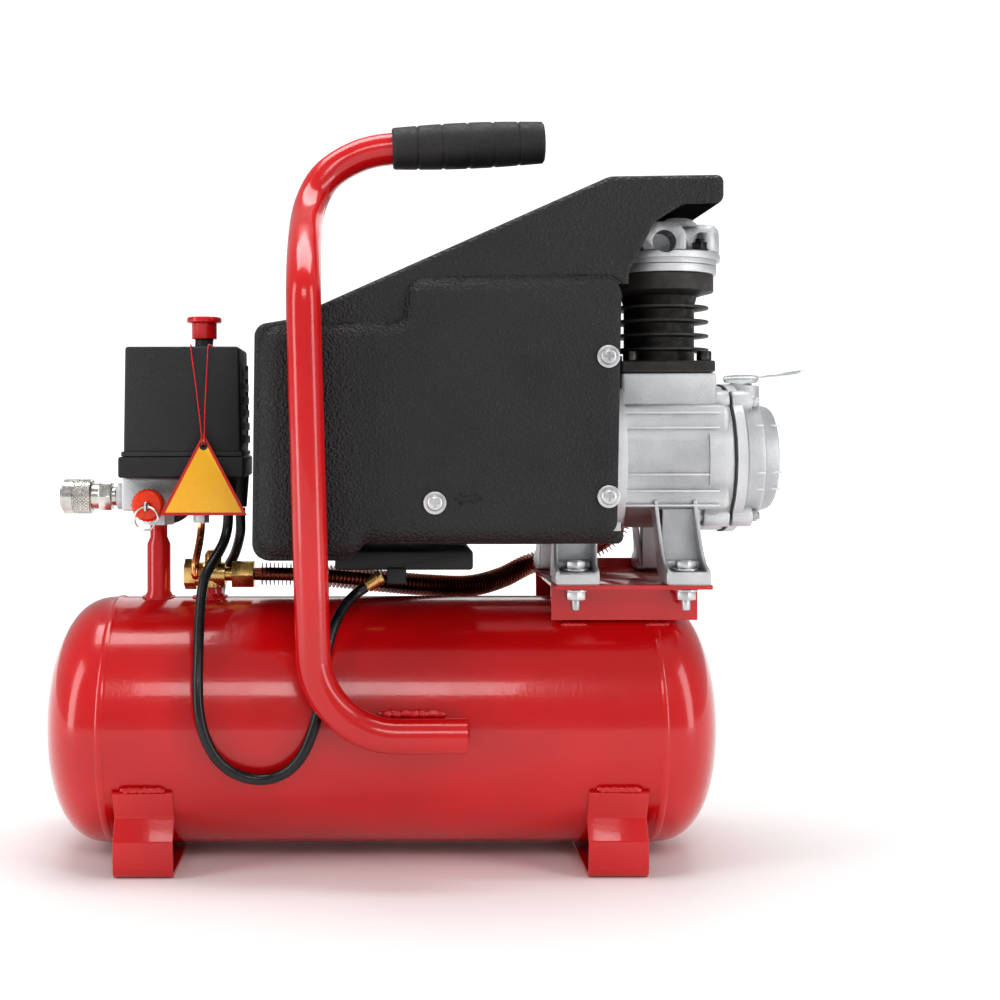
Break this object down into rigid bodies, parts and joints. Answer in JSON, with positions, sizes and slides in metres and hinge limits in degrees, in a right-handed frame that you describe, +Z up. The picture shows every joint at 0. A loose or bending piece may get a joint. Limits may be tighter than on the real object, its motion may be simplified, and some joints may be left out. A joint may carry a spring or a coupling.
{
  "type": "air compressor",
  "caption": "Portable oil-lubricated piston air compressor on a small horizontal tank, with a bent tube handle, black hood, pressure switch, gauge, relief valve and quick coupler.",
  "frame": {"origin": "on the floor, under the middle of the rigid machine's bounding box, without its leads", "axes": "+X along the tank towards the pump's crankcase cover, +Y away from the side with the handle's bent tube, +Z up"},
  "size_m": [0.538, 0.3559, 0.5185],
  "materials": {
    "red_enamel": "glossy sprayed enamel",
    "black_plastic": "fine moulded texture",
    "black_rubber": "matte",
    "cast_aluminium": "grit-blasted die casting",
    "steel": "zinc or nickel plated",
    "cast_iron": "black painted casting",
    "brass": "machined",
    "copper": "drawn copper tube",
    "black_pvc": "soft glossy cable sheath",
    "clear_plastic": "clear moulding",
    "orange_anodised": "anodised",
    "red_plastic": "moulded",
    "yellow_card": "laminated card"
  },
  "bodies": {
    "frame": {"tank_shell": "red_enamel", "foot_strap_left": "red_enamel", "foot_strap_right": "red_enamel", "handle_tube": "red_enamel", "pump_bracket": "red_enamel", "riser_pipe": "red_enamel", "valve_bung": "red_enamel", "shroud": "black_plastic", "terminal_box": "black_plastic", "switch_base": "black_plastic", "switch_cover": "black_plastic", "gauge_case": "black_plastic", "handle_grip": "black_rubber", "crankcase_gasket": "black_rubber", "crankcase": "cast_aluminium", "crankcase_cover": "cast_aluminium", "valve_plate": "cast_aluminium", "cylinder_head": "cast_aluminium", "motor_end_bell": "cast_aluminium", "manifold": "cast_aluminium", "motor_stator": "steel", "bearing_crank": "steel", "bearing_fan": "steel", "pump_bolt_1": "steel", "pump_bolt_2": "steel", "shroud_screw_1": "steel", "shroud_screw_2": "steel", "shroud_screw_3": "steel", "coupler_body": "steel", "cylinder": "cast_iron", "drain_cock_body": "brass", "lead_gland": "brass", "check_valve_body": "brass", "discharge_nut": "brass", "unloader_tube": "copper", "discharge_tube": "copper", "motor_lead": "black_pvc", "mains_lead": "black_pvc", "mains_coil": "black_pvc", "mains_tail": "black_pvc", "mains_plug": "black_pvc", "safety_valve_body": "orange_anodised", "tag_string": "red_plastic"},
    "shaft": {"crankshaft": "steel", "motor_rotor": "cast_aluminium", "cooling_fan": "black_plastic"},
    "piston_body": {"piston": "cast_aluminium", "wrist_pin": "steel"},
    "rod": {"connecting_rod": "cast_aluminium"},
    "knob": {"switch_knob": "red_plastic"},
    "sleeve": {"coupler_sleeve": "steel"},
    "relief_stem": {"safety_valve_stem": "steel"},
    "ring": {"pull_ring": "steel"},
    "drain": {"drain_screw": "brass"},
    "filler": {"oil_plug": "clear_plastic"},
    "needle": {"gauge_needle": "red_plastic"},
    "tag": {"warning_tag": "yellow_card"}
  },
  "joints": [
    {"name": "shaft_spin", "type": "hinge", "parent": "frame", "child": "shaft", "pos_m": [0.165, 0.0102, 0.278], "axis": [1, 0, 0], "continuous": true},
    {"name": "piston_slide", "type": "slide", "parent": "frame", "child": "piston_body", "axis": [0, 0, 1], "range_m": [-0.04, 0]},
    {"name": "rod_swing", "type": "hinge", "parent": "piston_body", "child": "rod", "pos_m": [0.165, 0.0102, 0.393], "axis": [1, 0, 0], "range_deg": [-12.2, 12.2]},
    {"name": "knob_push", "type": "slide", "parent": "frame", "child": "knob", "axis": [0, 0, 1], "range_m": [-0.004, 0]},
    {"name": "coupler_sleeve_slide", "type": "slide", "parent": "frame", "child": "sleeve", "axis": [1, 0, 0], "range_m": [0, 0.004], "stiffness_N_per_m": 600, "springref_m": -0.002},
    {"name": "relief_pull", "type": "slide", "parent": "frame", "child": "relief_stem", "axis": [0, -1, 0], "range_m": [0, 0.003], "stiffness_N_per_m": 800, "springref_m": -0.002},
    {"name": "ring_swing", "type": "hinge", "parent": "relief_stem", "child": "ring", "pos_m": [-0.198, -0.0283, 0.2455], "axis": [1, 0, 0], "range_deg": [-100, 6]},
    {"name": "drain_turn", "type": "hinge", "parent": "frame", "child": "drain", "pos_m": [0.055, 0.07836, 0.03874], "axis": [0, 0.788, -0.6157], "range_deg": [0, 540]},
    {"name": "filler_lift", "type": "slide", "parent": "frame", "child": "filler", "axis": [0, 0, 1], "range_m": [0, 0.02]},
    {"name": "needle_sweep", "type": "hinge", "parent": "frame", "child": "needle", "pos_m": [-0.19, 0.0377, 0.246], "axis": [0, 1, 0], "range_deg": [-270, 0], "stiffness_Nm_per_rad": 0.0002, "springref_deg": 2.86},
    {"name": "tag_swing", "type": "hinge", "parent": "frame", "child": "tag", "pos_m": [-0.158, -0.0298, 0.2875], "axis": [1, 0, 0], "range_deg": [-40, 4]}
  ]
}
